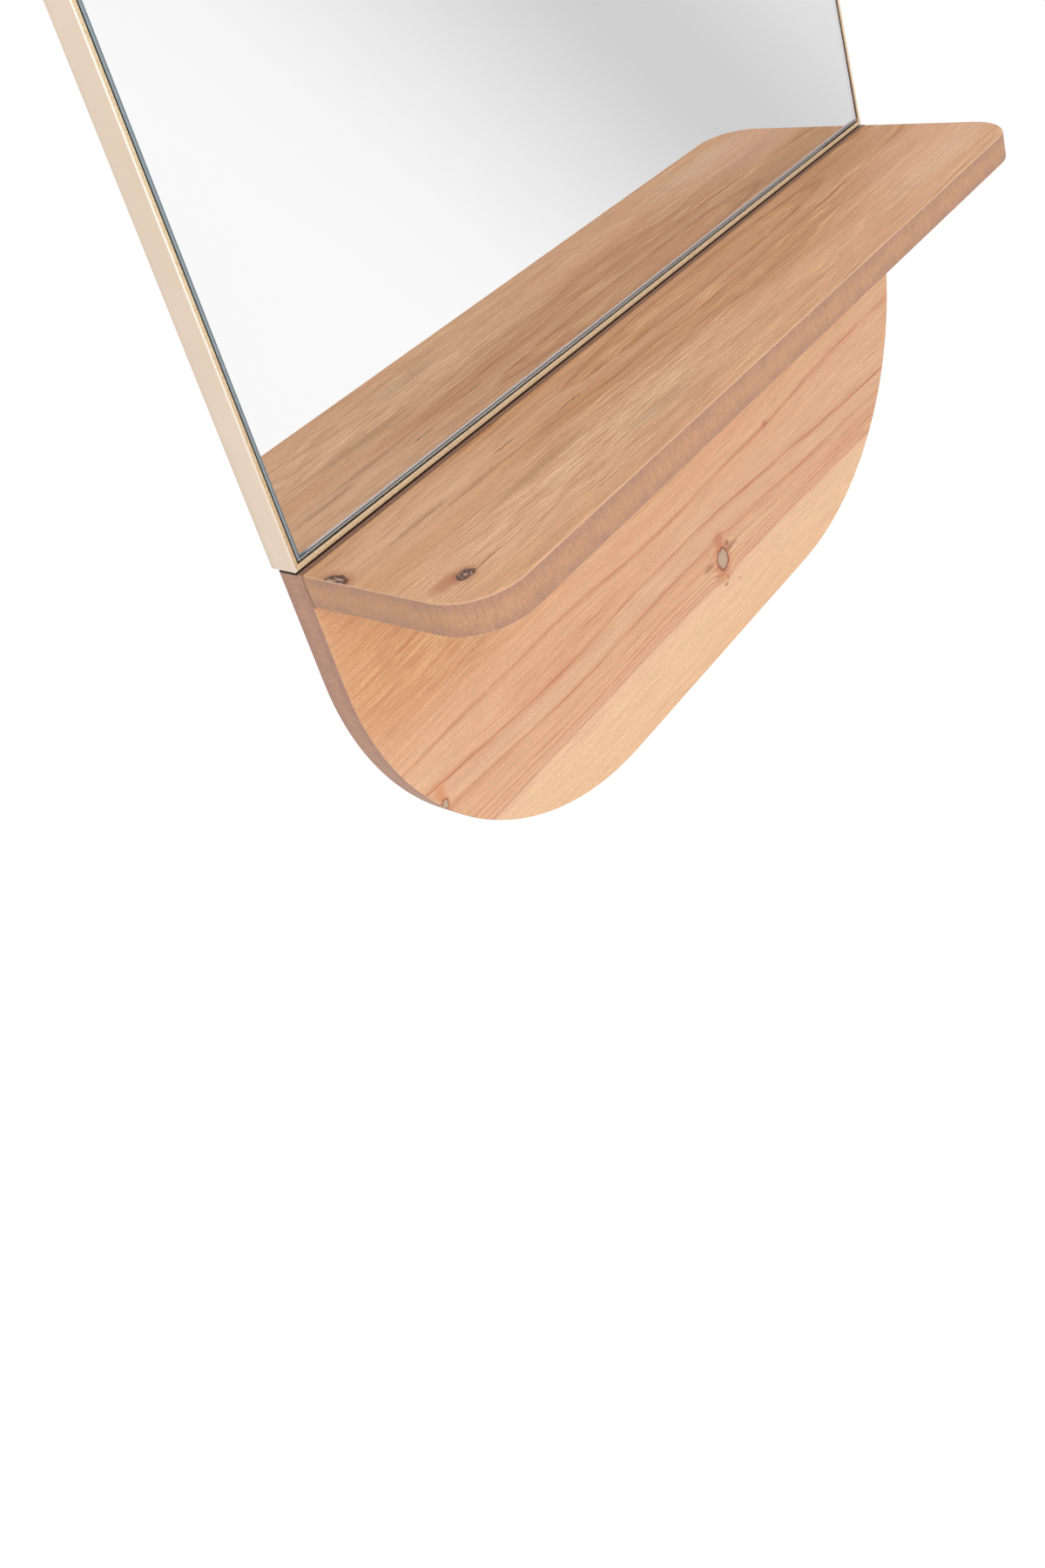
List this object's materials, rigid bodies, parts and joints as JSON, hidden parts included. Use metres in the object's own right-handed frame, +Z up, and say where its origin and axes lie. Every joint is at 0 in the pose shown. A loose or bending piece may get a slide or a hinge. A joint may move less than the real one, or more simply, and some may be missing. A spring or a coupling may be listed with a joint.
{
  "type": "wall mirror with shelf",
  "caption": "Wall mirror in a thin metal frame with a round-cornered top, standing on a solid wood backboard that carries a wooden shelf.",
  "frame": {"origin": "middle of the back of the frame's bottom rail, on the wall plane", "axes": "+Z up, +X to the viewer's right, -Y out of the wall towards the viewer"},
  "size_m": [0.6, 0.139, 0.8],
  "materials": {
    "softwood": "planed and sanded softwood, clear matt oil",
    "brass_frame": "pale champagne brass, satin lacquer",
    "mirror": "silvered float glass with a ground arris",
    "fibreboard": "smooth pressed fibreboard",
    "foam_tape": "double-sided foam tape",
    "plate_steel": "zinc-plated sheet steel",
    "screw_steel": "yellow zinc-plated screws",
    "beech": "fluted beech dowel",
    "bumper_rubber": "moulded matt rubber bumper"
  },
  "bodies": {
    "root": {"backboard": "softwood", "shelf": "softwood", "shelf_dowel_1": "beech", "shelf_dowel_2": "beech", "shelf_screw_1": "screw_steel", "shelf_screw_2": "screw_steel", "shelf_screw_3": "screw_steel", "shelf_screw_4": "screw_steel", "board_bumper_left": "bumper_rubber", "board_bumper_right": "bumper_rubber", "frame_band": "brass_frame", "frame_bottom_rail": "brass_frame", "rail_screw_1": "screw_steel", "rail_screw_2": "screw_steel", "rail_screw_3": "screw_steel", "mirror_glass": "mirror", "mirror_tape_1": "foam_tape", "mirror_tape_2": "foam_tape", "mirror_tape_3": "foam_tape", "mirror_tape_4": "foam_tape", "mirror_tape_5": "foam_tape", "back_panel": "fibreboard", "panel_tab_left_1": "plate_steel", "panel_tab_left_2": "plate_steel", "panel_tab_top_left": "plate_steel", "panel_tab_right_1": "plate_steel", "panel_tab_right_2": "plate_steel", "panel_tab_top_right": "plate_steel", "corner_gusset_left": "plate_steel", "corner_gusset_right": "plate_steel", "panel_screw_1": "screw_steel", "panel_screw_2": "screw_steel", "panel_screw_3": "screw_steel", "panel_screw_4": "screw_steel", "panel_screw_5": "screw_steel", "panel_screw_6": "screw_steel", "panel_screw_7": "screw_steel", "panel_screw_8": "screw_steel", "hanger_left": "plate_steel", "hanger_right": "plate_steel"}
  },
  "joints": []
}
